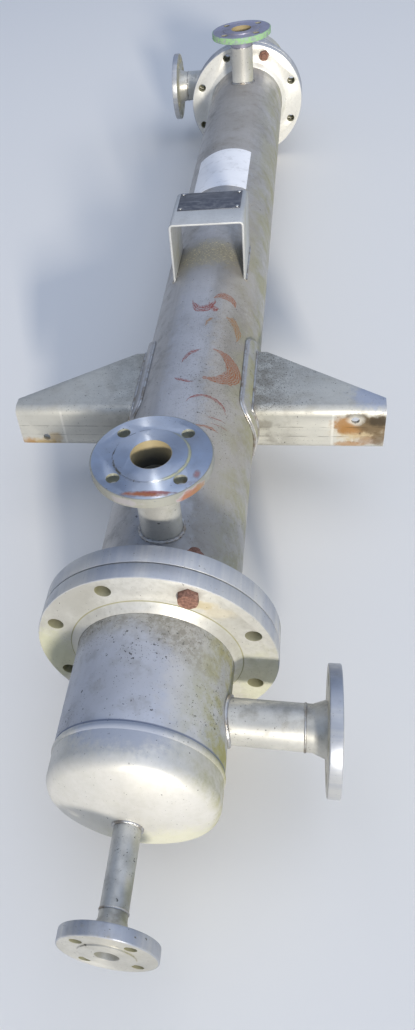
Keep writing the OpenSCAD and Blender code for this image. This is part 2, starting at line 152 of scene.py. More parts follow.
# Shell: rolled and welded stainless pipe, gone grey and blotchy outdoors, with fine marks along
# its length, black specks of lichen and a green film down its right side. A blue streak along
# its top is a painted reflection of the sky. Pale crumbs lie under the bracket, made paler than
# they are as painted light where the bracket shades the shell, and loose strokes of red and
# orange wax crayon cross its top.
STEEL = (0.50, 0.49, 0.48)
DULL_STEEL = (0.40, 0.385, 0.365)
# Painted reflection: a blue that stands for the sky, laid along the top of the shell.
SKY_REFLECTION_BLUE = (0.42, 0.45, 0.52)
BEIGE_FILM = (0.37, 0.33, 0.27)
# The crumbs are real, but their two colours are made paler as painted light where the bracket
# shades the shell.
CRUMB_FILM_AND_PAINTED_LIGHT = (0.47, 0.43, 0.30)
PALE_CRUMBS_AND_PAINTED_LIGHT = (0.72, 0.67, 0.45)
DIRT = (0.20, 0.18, 0.145)
LICHEN = (0.03, 0.03, 0.024)
ALGAE = (0.31, 0.295, 0.115)
WAX_RED = (0.24, 0.038, 0.022)
WAX_ORANGE = (0.29, 0.085, 0.022)
WAX_AMBER = (0.31, 0.15, 0.045)
WAX_LINE = 0.0034
WAX_WANDER = 0.007
UP = (0, 0, 1)
TO_THE_RIGHT = (0.96, 0.0, -0.05)
CREASE_ANGLE = math.radians(35)
EDGE_SEGMENTS = 2
MERGE_DISTANCE = 0.00001
FLAT_ANGLE = math.radians(0.05)
shell_low, shell_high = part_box("shell")
SHELL_RADIUS = (shell_high[0] - shell_low[0]) / 2
shell_top = axis_z + SHELL_RADIUS
CRUMB_PLACE = (-0.002, -0.160, shell_top)
CRUMB_SIZE = (0.090, 0.062, 0.06)
SPECK_PLACE = (0.036, -0.560, shell_top)
SPECK_SIZE = (0.085, 0.340, 0.08)


def link_value(tree, socket, value):
    """Feeds a socket from another socket, or sets it where the value is a number or a colour."""
    if isinstance(value, bpy.types.NodeSocket):
        tree.links.new(value, socket)
    elif isinstance(value, tuple) and len(value) == 3 and socket.type == "RGBA":
        socket.default_value = (*value, 1)
    else:
        socket.default_value = value


def calc(tree, operation, first, second=0.0):
    """A Math node, given by its operation and what goes in."""
    step = tree.nodes.new("ShaderNodeMath")
    step.operation = operation
    link_value(tree, step.inputs[0], first)
    link_value(tree, step.inputs[1], second)
    return step.outputs[0]


def vector_calc(tree, operation, first, second=(0, 0, 0)):
    """A Vector Math node, given by its operation and what goes in."""
    step = tree.nodes.new("ShaderNodeVectorMath")
    step.operation = operation
    link_value(tree, step.inputs[0], first)
    link_value(tree, step.inputs[1], second)
    return step


def times(tree, *factors):
    """Product of several values."""
    product = factors[0]
    for factor in factors[1:]:
        product = calc(tree, "MULTIPLY", product, factor)
    return product


def highest(tree, *values):
    """The largest of several values."""
    top = values[0]
    for value in values[1:]:
        top = calc(tree, "MAXIMUM", top, value)
    return top


def distance(tree, first, second):
    """How far apart two values are."""
    return calc(tree, "ABSOLUTE", calc(tree, "SUBTRACT", first, second))


def fade(tree, value, low, high, start=0.0, end=1.0):
    """Takes a value from low to high over to start to end, with soft shoulders."""
    step = tree.nodes.new("ShaderNodeMapRange")
    step.interpolation_type = "SMOOTHSTEP"
    for socket, number in zip(step.inputs[:5], (value, low, high, start, end)):
        link_value(tree, socket, number)
    return step.outputs[0]


def tint(tree, amount, under, over):
    """Lays one colour over another by an amount."""
    step = tree.nodes.new("ShaderNodeMix")
    step.data_type = "RGBA"
    link_value(tree, step.inputs["Factor"], amount)
    link_value(tree, step.inputs["A"], under)
    link_value(tree, step.inputs["B"], over)
    return step.outputs["Result"]


def resize(tree, coords, stretch, move):
    """Stretches coordinates, and then moves them."""
    step = tree.nodes.new("ShaderNodeMapping")
    step.inputs["Scale"].default_value = stretch
    step.inputs["Location"].default_value = move
    tree.links.new(coords, step.inputs["Vector"])
    return step.outputs[0]


def mottle(tree, coords, scale, detail=4.0, roughness=0.55, stretch=(1, 1, 1), move=(0, 0, 0)):
    """Noise in metres, stretched along the piece where its grain runs."""
    step = tree.nodes.new("ShaderNodeTexNoise")
    step.inputs["Scale"].default_value = scale
    step.inputs["Detail"].default_value = detail
    step.inputs["Roughness"].default_value = roughness
    tree.links.new(resize(tree, coords, stretch, move), step.inputs["Vector"])
    return step.outputs["Fac"]


def wander(tree, coords, reach, scale, detail, roughness):
    """Wanders from place to place, at most half its reach to either side of nothing."""
    noise = mottle(tree, coords, scale, detail, roughness)
    return times(tree, calc(tree, "SUBTRACT", noise, 0.5), reach)


def facing(tree, direction):
    """How far the surface faces a direction, from -1 to 1."""
    normal = tree.nodes.new("ShaderNodeNewGeometry").outputs["Normal"]
    return vector_calc(tree, "DOT_PRODUCT", normal, direction).outputs["Value"]


def split_place(tree, coords):
    """The x, y and z of a place."""
    split = tree.nodes.new("ShaderNodeSeparateXYZ")
    tree.links.new(coords, split.inputs[0])
    return tuple(split.outputs)


def specks(tree, coords, scale, amount):
    """Small ragged specks: 1 in a speck, 0 between them. More of them show as amount rises."""
    grains = mottle(tree, coords, scale, 2.5, 0.65, move=(scale, 1, 2))
    return fade(tree, calc(tree, "ADD", grains, times(tree, amount, 0.055)), 0.715, 0.745)


def stain(tree, coords, centre, size):
    """A soft patch with a ragged edge: 1 in its middle, 0 outside its size along x, y and z."""
    offset = resize(tree, coords, [1 / reach for reach in size],
                    [-place / reach for place, reach in zip(centre, size)])
    length = vector_calc(tree, "LENGTH", offset).outputs["Value"]
    edge = calc(tree, "ADD", length, wander(tree, coords, 1.2, 90.0, 5.0, 0.65))
    return fade(tree, edge, 0.45, 1.2, 1.0, 0.0)


def start_finish(name):
    """A new material: its node tree, its shader and the object coordinates."""
    finish = bpy.data.materials.new(name)
    finish.use_nodes = True
    tree = finish.node_tree
    coords = tree.nodes.new("ShaderNodeTexCoord").outputs["Object"]
    return finish, tree, tree.nodes["Principled BSDF"], coords


def set_look(tree, shader, colour, roughness, metallic=0.0):
    """Gives a shader its colour, its roughness and how metallic it is."""
    link_value(tree, shader.inputs["Base Color"], colour)
    link_value(tree, shader.inputs["Roughness"], roughness)
    link_value(tree, shader.inputs["Metallic"], metallic)


def emboss(tree, shader, height, strength, depth):
    """Bumps a surface by a height, on top of the bump that it has."""
    bump = tree.nodes.new("ShaderNodeBump")
    bump.inputs["Strength"].default_value = strength
    bump.inputs["Distance"].default_value = depth
    tree.links.new(height, bump.inputs["Height"])
    for link in shader.inputs["Normal"].links:
        tree.links.new(link.from_socket, bump.inputs["Normal"])
    tree.links.new(bump.outputs[0], shader.inputs["Normal"])


def weathered_steel(name, grain=(1, 0.04, 1), tone=STEEL, dull=DULL_STEEL, roughness=0.46,
                    bare=0.55, dust=0.5, lichen=0.5, algae=0.5, marks=(), extra=None):
    """Stainless steel that has stood outdoors: grain, blotches, dust, lichen specks and algae.
    Bare is how metallic it is where nothing covers it. Marks are stains, each with a colour, a
    centre, a size and a strength, and extra lays a piece's own marks over all of it."""
    finish, tree, shader, coords = start_finish(name)
    blotches = mottle(tree, coords, 8.0, 7.0, 0.62)
    lines = mottle(tree, coords, 150.0, 3.0, 0.6, grain)
    clouds = mottle(tree, coords, 38.0, 6.0, 0.65, move=(3, 1, 2))
    colour = tint(tree, fade(tree, blotches, 0.36, 0.68), tone, dull)
    colour = tint(tree, fade(tree, lines, 0.35, 0.75, 0.0, 0.45), colour, dull)
    colour = tint(tree, fade(tree, clouds, 0.52, 0.70, 0.0, 0.35), colour, dull)
    up = fade(tree, facing(tree, UP), -0.2, 0.9)
    film = times(tree, fade(tree, clouds, 0.44, 0.70), fade(tree, blotches, 0.35, 0.6), up, dust)
    colour = tint(tree, film, colour, DIRT)
    cover = film
    for mark_colour, centre, size, strength in marks:
        patch = times(tree, stain(tree, coords, centre, size), strength)
        colour = tint(tree, patch, colour, mark_colour)
        cover = highest(tree, cover, patch)
    growth = mottle(tree, coords, 16.0, 8.0, 0.7, move=(7, 7, 7))
    green = times(tree, fade(tree, facing(tree, TO_THE_RIGHT), 0.30, 0.95),
                  fade(tree, growth, 0.38, 0.62, 0.15, 1.0), algae)
    green = calc(tree, "MINIMUM", green, 1.0)
    colour = tint(tree, green, colour, ALGAE)
    patches = fade(tree, mottle(tree, coords, 9.0, move=(5, 2, 9)), 0.38, 0.62, 0.2, 1.0)
    patches = times(tree, patches, lichen, fade(tree, facing(tree, UP), -0.3, 0.6, 0.35, 1.0))
    spots = highest(tree, specks(tree, coords, 150.0, patches),
                    specks(tree, coords, 420.0, calc(tree, "ADD", patches, 0.3)))
    colour = tint(tree, times(tree, spots, 0.8), colour, LICHEN)
    cover = highest(tree, cover, times(tree, green, 0.8), spots)
    if extra:
        colour, cover = extra(tree, coords, colour, cover)
    gloss = calc(tree, "ADD", times(tree, clouds, 0.5), times(tree, cover, 0.8))
    set_look(tree, shader, colour, fade(tree, gloss, 0.1, 0.9, roughness - 0.08, 0.9),
             fade(tree, cover, 0.0, 1.0, bare, 0.05))
    height = calc(tree, "ADD", times(tree, lines, 0.5), calc(tree, "ADD", clouds, spots))
    emboss(tree, shader, height, 0.3, 0.0004)
    return finish


def oval_stroke(tree, coords, x, y, centre, half, width, first, last):
    """A stroke along part of an oval, between two angles in degrees. It thins out towards its
    ends, and is made of fine lines side by side."""
    across = calc(tree, "DIVIDE", calc(tree, "SUBTRACT", x, centre[0]), half[0])
    along = calc(tree, "DIVIDE", calc(tree, "SUBTRACT", y, centre[1]), half[1])
    radius = calc(tree, "SQRT", calc(tree, "ADD", times(tree, across, across),
                                     times(tree, along, along)))
    off = times(tree, calc(tree, "SUBTRACT", radius, 1.0), min(half))
    off = calc(tree, "ADD", off, wander(tree, coords, WAX_WANDER, 110.0, 3.0, 0.55))
    angle = calc(tree, "ARCTAN2", along, across)
    centre_angle, half_angle = math.radians(first + last) / 2, math.radians(last - first) / 2
    within = calc(tree, "COSINE", calc(tree, "SUBTRACT", angle, centre_angle))
    reach = fade(tree, within, math.cos(half_angle), 1.0, width * 0.12, width * 0.5)
    inside = calc(tree, "SUBTRACT", reach, calc(tree, "ABSOLUTE", off))
    lines = calc(tree, "SINE", times(tree, off, 2 * math.pi / WAX_LINE))
    return times(tree, fade(tree, inside, 0.0, 0.0012), fade(tree, lines, -0.8, 0.4, 0.35, 1.0),
                 fade(tree, within, math.cos(half_angle) - 0.01, math.cos(half_angle) + 0.02))


def shell_marks_on_top(tree, coords, colour, cover):
    """Pale crumbs under the bracket, made paler than their own colour as painted light where the
    bracket shades the shell, black specks round the wax, and the wax strokes, which have caught
    only on the high spots, so that they are broken and worn thin."""
    x, y, z = split_place(tree, coords)
    crumbs = times(tree, stain(tree, coords, CRUMB_PLACE, CRUMB_SIZE), 2.4)
    crumbs = times(tree, highest(tree, specks(tree, coords, 230.0, crumbs),
                                 specks(tree, coords, 390.0, crumbs)), 0.85)
    # painted light: the crumbs get a paler colour than their own under the bracket's shade
    colour = tint(tree, crumbs, colour, PALE_CRUMBS_AND_PAINTED_LIGHT)
    dots = times(tree, stain(tree, coords, SPECK_PLACE, SPECK_SIZE), 1.7)
    dots = highest(tree, specks(tree, coords, 210.0, times(tree, dots, 0.7)),
                   specks(tree, coords, 450.0, dots))
    colour = tint(tree, times(tree, dots, 0.75), colour, LICHEN)
    cover = highest(tree, cover, crumbs, dots)
    strokes = (
        # colour, centre, half width and half length, stroke width, first and last angle
        (WAX_RED, (0.002, -0.335), (0.022, 0.042), 0.013, 190, 350),
        (WAX_ORANGE, (0.040, -0.352), (0.022, 0.030), 0.016, 10, 150),
        (WAX_RED, (0.026, -0.338), (0.014, 0.036), 0.008, 200, 300),
        (WAX_AMBER, (0.050, -0.436), (0.022, 0.044), 0.013, -20, 95),
        (WAX_AMBER, (0.030, -0.430), (0.016, 0.026), 0.006, 100, 190),
        (WAX_ORANGE, (0.030, -0.545), (0.042, 0.044), 0.026, -100, 85),
        (WAX_RED, (0.020, -0.560), (0.040, 0.052), 0.009, 100, 165),
        (WAX_RED, (0.016, -0.574), (0.046, 0.030), 0.007, 205, 262),
        (WAX_RED, (0.034, -0.668), (0.034, 0.032), 0.007, 5, 165),
        (WAX_RED, (0.060, -0.700), (0.034, 0.014), 0.0035, 70, 130),
        (WAX_RED, (0.060, -0.712), (0.030, 0.012), 0.003, 60, 120),
        (WAX_ORANGE, (0.040, -0.730), (0.026, 0.018), 0.007, 40, 140),
    )
    rough = fade(tree, mottle(tree, coords, 520.0, 3.0, 0.7), 0.40, 0.56, 0.35, 1.0)
    caught = times(tree, rough, fade(tree, z, axis_z, axis_z + 0.03))
    for wax, *stroke in strokes:
        drawn = times(tree, oval_stroke(tree, coords, x, y, *stroke), caught)
        colour = tint(tree, drawn, colour, wax)
        cover = highest(tree, cover, drawn)
    return colour, cover


def coat(piece, finish):
    """Gives a piece its finish, in place of any that it had."""
    piece.data.materials.clear()
    piece.data.materials.append(finish)


def finish_piece(node, finish, edge=0):
    """Copies a CAD node, joins its triangles, rounds its sharp edges and hangs it on the vessel.
    Edge is how wide the rounding is."""
    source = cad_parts[node]
    piece = bpy.data.objects.new(node + "_finished", source.data.copy())
    bpy.context.collection.objects.link(piece)
    bpy.ops.object.select_all(action="DESELECT")
    bpy.context.view_layer.objects.active = piece
    piece.select_set(True)
    if piece.data.has_custom_normals:
        bpy.ops.mesh.customdata_custom_splitnormals_clear()
    bpy.ops.object.mode_set(mode="EDIT")
    bpy.ops.mesh.select_all(action="SELECT")
    bpy.ops.mesh.remove_doubles(threshold=MERGE_DISTANCE)
    bpy.ops.mesh.dissolve_limited(angle_limit=FLAT_ANGLE)
    bpy.ops.object.mode_set(mode="OBJECT")
    if edge:
        bevel = piece.modifiers.new("edge", "BEVEL")
        bevel.width = edge
        bevel.segments = EDGE_SEGMENTS
        bevel.limit_method = "ANGLE"
        bevel.angle_limit = CREASE_ANGLE
        bpy.ops.object.modifier_apply(modifier=bevel.name)
    bpy.ops.object.shade_smooth_by_angle(angle=CREASE_ANGLE)
    coat(piece, finish)
    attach(piece, "root")
    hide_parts(node)
    piece.select_set(False)


shell_marks = (
    # colour, centre, size, strength
    # the blue streak along the top is a painted reflection of the sky
    (SKY_REFLECTION_BLUE, (-0.016, -0.45, shell_top), (0.040, 0.80, 0.05), 0.45),
    (BEIGE_FILM, (0.070, -0.55, shell_top - 0.02), (0.050, 0.80, 0.08), 0.55),
    (DIRT, (0.072, -0.47, shell_top - 0.02), (0.030, 0.17, 0.05), 0.45),
    # the crumb film is made paler as painted light under the bracket's shade
    (CRUMB_FILM_AND_PAINTED_LIGHT, CRUMB_PLACE, CRUMB_SIZE, 0.5),
    (BEIGE_FILM, (0.0, 0.60, shell_top), (0.085, 0.65, 0.06), 0.4),
)
finish_piece("shell", weathered_steel(
    "shell_steel", dust=0.4, algae=0.6, marks=shell_marks, extra=shell_marks_on_top))

# Label: a thin white plastic sheet stuck over the top of the shell. It is cut from a sleeve of
# the shell's own roundness, and is blank.
LABEL_WHITE = (0.97, 0.96, 0.95)
LABEL_FADED = (0.8924, 0.8832, 0.874)
LABEL_FROM_ANGLE = math.radians(-45)
LABEL_TO_ANGLE = math.radians(28)
LABEL_NEAR_Y = 0.152
LABEL_LENGTH = 0.210
LABEL_THICKNESS = 0.0002
SLEEVE_SIDES = 180

label_finish, tree, shader, coords = start_finish("label_film")
grime = fade(tree, mottle(tree, coords, 45.0, 6.0, 0.65), 0.50, 0.75, 0.0, 0.35)
faded = fade(tree, mottle(tree, coords, 12.0, 3.0, 0.5), 0.40, 0.65)
colour = tint(tree, faded, LABEL_WHITE, LABEL_FADED)
set_look(tree, shader, tint(tree, grime, colour, DIRT), 0.32)
bpy.ops.mesh.primitive_cylinder_add(
    vertices=SLEEVE_SIDES, radius=SHELL_RADIUS + LABEL_THICKNESS, depth=LABEL_LENGTH,
    end_fill_type="NOTHING", rotation=(math.pi / 2, 0, 0),
    location=(0, LABEL_NEAR_Y + LABEL_LENGTH / 2, axis_z))
label = bpy.context.object
label.name = "label"
bpy.ops.object.transform_apply(location=True, rotation=True, scale=True)
bpy.ops.object.mode_set(mode="EDIT")
for edge_angle, side in ((LABEL_FROM_ANGLE, -1), (LABEL_TO_ANGLE, 1)):
    bpy.ops.mesh.select_all(action="SELECT")
    bpy.ops.mesh.bisect(plane_co=(0, 0, axis_z), clear_outer=True,
                        plane_no=(side * math.cos(edge_angle), 0, -side * math.sin(edge_angle)))
bpy.ops.object.mode_set(mode="OBJECT")
sheet = label.modifiers.new("thickness", "SOLIDIFY")
sheet.thickness = LABEL_THICKNESS
bpy.ops.object.modifier_apply(modifier=sheet.name)
bpy.ops.object.shade_smooth_by_angle(angle=CREASE_ANGLE)
coat(label, label_finish)
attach(label, "root")
label.select_set(False)

# Tubesheets: thick turned discs, welded to the ends of the shell. Their faces and rims are
# machined, so they are smoother and brighter than the pipe, and their holes hold green dirt.
# The far one is made paler than the near one, as painted light.
MACHINED = (0.66, 0.645, 0.59)
MACHINED_DULL = (0.47, 0.455, 0.40)
# Painted light: paler copies of the machined tones, for the far tubesheet.
FAR_TONE_PAINTED_LIGHT = (0.82, 0.805, 0.745)
FAR_DULL_PAINTED_LIGHT = (0.66, 0.645, 0.585)
HOLE_GRIME = (0.24, 0.225, 0.10)
# Painted reflection and highlight: rims of turned pieces are streaked with a bluish sky reflection
# and a whitish highlight.
RIM_SKY_REFLECTION = (0.34, 0.37, 0.44)
RIM_PAINTED_HIGHLIGHT = (0.56, 0.56, 0.55)
RING_PITCH = 0.0012
ALONG = (0, 1, 0)
BONNET_BOLT_CIRCLE = 0.1475
BONNET_HOLE = 0.011
FLANGE_EDGE = 0.0012


def middle(node):
    """Centre of a node's box."""
    low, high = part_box(node)
    return tuple((a + b) / 2 for a, b in zip(low, high))


def on_rim(tree, radius, rim_radius, start, full, strength=1.0):
    """A mark's strength on the rim of a disc, and 0 further in."""
    return fade(tree, radius, rim_radius - start, rim_radius - full, 0.0, strength)


def finish_turned(node, axis, bolt_circle, hole, edge=FLANGE_EDGE, toe=0.0, anisotropy=0.5,
                  extra=None, **look):
    """Finishes a turned piece: weathered steel with rings and a stretched shine round an axis,
    grime in the bolt holes, a rim painted in streaks of bluish sky reflection and whitish
    highlight, and a dark line at the toe of a weld where its radius is given."""
    low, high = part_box(node)
    rim_radius = max(b - a for a, b in zip(low, high)) / 2
    across = tuple(0.05 if part else 1.0 for part in axis)

    def grime(tree, coords, colour, cover):
        """The rim, painted in streaks of sky reflection and highlight, the dirt in the holes and
        along the weld, and then the piece's own marks.
        """
        offset = vector_calc(tree, "SUBTRACT", coords, middle(node))
        tangent = vector_calc(tree, "CROSS_PRODUCT", axis, offset.outputs[0])
        tangent.name = "ring_tangent"
        length = vector_calc(tree, "LENGTH", tangent.outputs[0])
        length.name = "ring_radius"
        radius = length.outputs["Value"]
        rim = times(tree, on_rim(tree, radius, rim_radius, 0.0022, 0.0010, 0.75),
                    fade(tree, cover, 0.2, 0.6, 1.0, 0.0))
        streaks = calc(tree, "ADD", mottle(tree, coords, 9.0, 2.0, 0.5, across),
                       times(tree, mottle(tree, coords, 80.0, 4.0, 0.6, across), 0.5))
        streaks = fade(tree, streaks, 0.62, 0.92)
        # painted sky reflection and highlight, in streaks on the rim
        colour = tint(tree, rim, colour, tint(tree, streaks, RIM_SKY_REFLECTION, RIM_PAINTED_HIGHLIGHT))
        wall = fade(tree, calc(tree, "ABSOLUTE", facing(tree, axis)), 0.3, 0.7, 1.0, 0.0)
        off_circle = distance(tree, radius, bolt_circle)
        dirty = times(tree, wall, fade(tree, off_circle, hole * 1.1, hole * 1.3, 0.7, 0.0))
        if toe:
            off_toe = distance(tree, radius, toe)
            dirty = highest(tree, dirty, fade(tree, off_toe, 0.0003, 0.0012, 0.8, 0.0))
        colour = tint(tree, dirty, colour, HOLE_GRIME)
        cover = highest(tree, cover, dirty)
        return extra(tree, coords, colour, cover) if extra else (colour, cover)

    look = {"tone": MACHINED, "dull": MACHINED_DULL, "grain": (1, 1, 1), "bare": 0.65, **look}
    finish = weathered_steel(node + "_steel", extra=grime, **look)
    tree = finish.node_tree
    shader = tree.nodes["Principled BSDF"]
    tree.links.new(tree.nodes["ring_tangent"].outputs[0], shader.inputs["Tangent"])
    shader.inputs["Anisotropic"].default_value = anisotropy
    shader.inputs["Anisotropic Rotation"].default_value = 0.25
    ring = calc(tree, "SINE", times(tree, tree.nodes["ring_radius"].outputs["Value"],
                                    2 * math.pi / RING_PITCH))
    emboss(tree, shader, ring, 0.25, 0.00006)
    finish_piece(node, finish, edge)


# the far tubesheet's paler tone is painted light
for end, tone, dull in (("near", MACHINED, MACHINED_DULL), ("far", FAR_TONE_PAINTED_LIGHT, FAR_DULL_PAINTED_LIGHT)):
    finish_turned(end + "_tubesheet", ALONG, BONNET_BOLT_CIRCLE, BONNET_HOLE, tone=tone,
                  dull=dull, lichen=0.2, algae=0.45, dust=0.1, bare=0.4)

# Tubes: a bundle of thin drawn steel tubes that pass through both tubesheets. They are seen
# only through the nozzle bores, dull and dusty.
TUBE_STEEL = (0.42, 0.40, 0.36)
TUBE_DULL = (0.25, 0.23, 0.20)
coat(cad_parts["tube_bundle"], weathered_steel(
    "tube_steel", tone=TUBE_STEEL, dull=TUBE_DULL, dust=0.8, lichen=0.0, algae=0.0))

# Gaskets: rings cut from dark fibre sheet, pressed between the tubesheets and the bonnet
# flanges and set back from their rims, so that only their edges show.
GASKET_DARK = (0.012, 0.012, 0.012)
GASKET_WORN = (0.05, 0.05, 0.045)
gasket_finish, tree, shader, coords = start_finish("gasket_fibre")
fibres = mottle(tree, coords, 900.0, 3.0)
set_look(tree, shader, tint(tree, fibres, GASKET_DARK, GASKET_WORN), 0.95)
for end in ("near", "far"):
    coat(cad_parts[end + "_gasket"], gasket_finish)

# Bonnet flanges: turned rings slipped over the barrels, with a smooth fillet weld outside. The
# near one has a greenish film low on both sides and a yellow run below its upper bolt.
RUN_YELLOW = (0.46, 0.36, 0.15)
FLANGE_GREEN = (0.50, 0.505, 0.30)
FLANGE_WELD = 0.012
HALF_BOLT_STEP = math.radians(22.5)
bolt_x = BONNET_BOLT_CIRCLE * math.sin(HALF_BOLT_STEP)
bolt_z = axis_z + BONNET_BOLT_CIRCLE * math.cos(HALF_BOLT_STEP)
near_flange_marks = (
    (FLANGE_GREEN, (-0.156, near_face_y, axis_z - 0.020), (0.045, 0.02, 0.080), 0.55),
    (FLANGE_GREEN, (0.150, near_face_y, axis_z - 0.050), (0.055, 0.02, 0.080), 0.45),
    (RUN_YELLOW, (bolt_x + 0.012, near_face_y, bolt_z - 0.018), (0.026, 0.02, 0.010), 0.55),
    (RUN_YELLOW, (bolt_x + 0.036, near_face_y, bolt_z - 0.034), (0.026, 0.02, 0.014), 0.3),
)
for end, marks in (("near", near_flange_marks), ("far", ())):
    finish_turned(end + "_bonnet_flange", ALONG, BONNET_BOLT_CIRCLE, BONNET_HOLE,
                  toe=SHELL_RADIUS + FLANGE_WELD, lichen=0.2, algae=0.45, dust=0.1, bare=0.45,
                  marks=marks)

# Barrels and dished heads of the bonnets: short pipes with pressed ends, joined by a seam weld.
# The barrels are speckled and brown by the flange and green on the right, with a blue line beside
# the seam and a painted highlight high on their right, and the heads have a yellow-green film low
# on the right and a painted reflection of the sky, in blue, on their skirts.
WELD_STEEL = (0.56, 0.56, 0.55)
WELD_BROWN = (0.33, 0.28, 0.22)
BARREL_BROWN = (0.27, 0.25, 0.19)
BARREL_DUST = (0.44, 0.42, 0.36)
SEAM_BLUE = (0.12, 0.145, 0.21)
GREEN_FILM = (0.58, 0.575, 0.36)
BARREL_STEEL = (0.52, 0.54, 0.59)
BARREL_DULL = (0.44, 0.45, 0.48)
# Painted highlight: a whitish patch high on the right of each barrel.
BARREL_PAINTED_HIGHLIGHT = (0.58, 0.565, 0.53)
BROWN_LENGTH = 0.034
BROWN_SLOPE = 0.69
SEAM_LINE = 0.0063
HEAD_STEEL = (0.68, 0.66, 0.61)
HEAD_DULL = (0.58, 0.565, 0.50)
# Painted reflection: a blue that stands for the sky on the skirts of the heads.
SKIRT_SKY_REFLECTION = (0.30, 0.34, 0.43)
RIGHT = (1, 0, 0)
SEAM_BEAD = 0.0036
SEAM_SINK = 0.0008
SEAM_STEPS = 240
BEAD_ROUNDNESS = 2
near_seam_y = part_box("near_bonnet_barrel")[0][1]
far_seam_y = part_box("far_bonnet_barrel")[1][1]


def even_points(corners, step, closed):
    """Points at even steps along the lines between the corners."""
    corners = [Vector(corner) for corner in corners]
    if closed:
        corners.append(corners[0])
    sides = [(b - a).length for a, b in zip(corners, corners[1:])]
    count = max(4, round(sum(sides) / step))
    points = []
    for index in range(count if closed else count + 1):
        left = sum(sides) * index / count
        side = 0
        while side < len(sides) - 1 and left > sides[side]:
            left -= sides[side]
            side += 1
        points.append(corners[side].lerp(corners[side + 1], left / sides[side]))
    return points


def weld_bead(name, corners, width, closed=True, step=0.0022, ripple=0.82):
    """Lays a weld bead: a rod along a seam whose thickness rises and falls in ripples."""
    points = even_points(corners, step, closed)
    bpy.ops.curve.primitive_nurbs_path_add()
    bead = bpy.context.object
    bead.name = name
    path = bead.data.splines[0]
    path.type = "POLY"
    path.points.add(len(points) - len(path.points))
    path.use_cyclic_u = closed
    for index, (knot, place) in enumerate(zip(path.points, points)):
        knot.co = (*place, 1)
        knot.radius = (1.0, ripple)[index % 2] * (1 + 0.05 * math.sin(index * 0.37))
    bead.data.bevel_depth = width / 2
    bead.data.bevel_resolution = BEAD_ROUNDNESS
    bead.data.use_fill_caps = not closed
    bpy.ops.object.convert(target="MESH")
    bpy.ops.object.shade_smooth()
    coat(bead, weld_finish)
    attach(bead, "root")
    bead.select_set(False)


def turn_angles(count):
    """Angles at even steps round a full turn."""
    return [2 * math.pi * index / count for index in range(count)]


def ring_points(centre, radius, first, second, count=96):
    """Points of a circle round a centre, in the plane of two directions."""
    first, second, centre = Vector(first), Vector(second), Vector(centre)
    return [centre + radius * (math.cos(angle) * first + math.sin(angle) * second)
            for angle in turn_angles(count)]


def brown_band(tree, coords, colour, cover):
    """The brown end of a barrel, longer but fainter towards the right, and the blue line beside
    its seam."""
    x, y = split_place(tree, coords)[:2]
    out = calc(tree, "ABSOLUTE", y)
    past = calc(tree, "SUBTRACT", out, abs(near_face_y) + BROWN_LENGTH)
    past = calc(tree, "ADD", past, wander(tree, coords, 0.05, 45.0, 6.0, 0.65))
    edge = calc(tree, "SUBTRACT", past, times(tree, highest(tree, x, 0.0), BROWN_SLOPE))
    brown = times(tree, fade(tree, edge, -0.026, 0.016, 0.85, 0.0),
                  fade(tree, x, 0.045, 0.095, 1.0, 0.35))
    shade = fade(tree, mottle(tree, coords, 120.0, 5.0, 0.7), 0.40, 0.62)
    colour = tint(tree, brown, colour, tint(tree, shade, BARREL_BROWN, BARREL_DUST))
    clusters = times(tree, brown, fade(tree, mottle(tree, coords, 26.0), 0.38, 0.64))
    dots = highest(tree, specks(tree, coords, 190.0, times(tree, clusters, 2.2)),
                   specks(tree, coords, 420.0, times(tree, clusters, 2.8)))
    colour = tint(tree, times(tree, dots, brown, 0.85), colour, LICHEN)
    off_line = distance(tree, out, abs(near_seam_y) - SEAM_LINE)
    line = fade(tree, off_line, 0.0005, 0.0020, 0.8, 0.0)
    colour = tint(tree, line, colour, SEAM_BLUE)
    return colour, highest(tree, cover, brown, line)


weld_finish, tree, shader, coords = start_finish("weld_steel")
tinge = fade(tree, mottle(tree, coords, 60.0, 5.0, 0.6), 0.42, 0.68)
set_look(tree, shader, tint(tree, tinge, WELD_STEEL, WELD_BROWN), 0.36, 0.9)
emboss(tree, shader, mottle(tree, coords, 330.0, 3.0, 0.7), 0.8, 0.0012)

for end, seam_y in (("near", near_seam_y), ("far", far_seam_y)):
    tip_y = max((corner[1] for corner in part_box(end + "_head")), key=abs)
    # the blue band on the skirt is a painted reflection of the sky; the green film is real
    skirt = ((SKIRT_SKY_REFLECTION, (-0.01, seam_y, shell_top), (0.085, 0.034, 0.05), 0.75),
             (GREEN_FILM, (0.045, tip_y, axis_z - 0.055), (0.085, 0.060, 0.055), 0.4))
    # painted highlight: a whitish patch high on the right of the barrel, where light glints
    painted_highlight = ((BARREL_PAINTED_HIGHLIGHT, (0.068, seam_y * 0.94, shell_top - 0.030), (0.045, 0.09, 0.06), 0.6),)
    finish_piece(end + "_bonnet_barrel", weathered_steel(
        end + "_bonnet_steel", tone=BARREL_STEEL, dull=BARREL_DULL, lichen=1.5, algae=1.1,
        dust=0.3, bare=0.3, roughness=0.56, marks=painted_highlight, extra=brown_band))
    finish_piece(end + "_head", weathered_steel(
        end + "_head_steel", tone=HEAD_STEEL, dull=HEAD_DULL, grain=(1, 1, 1), roughness=0.52,
        bare=0.5, lichen=0.2, algae=0.9, dust=0.08, marks=skirt))
    seam_ring = ring_points((0, seam_y, axis_z), SHELL_RADIUS - SEAM_SINK, RIGHT, UP, SEAM_STEPS)
    weld_bead(end + "_seam_weld", seam_ring, SEAM_BEAD)

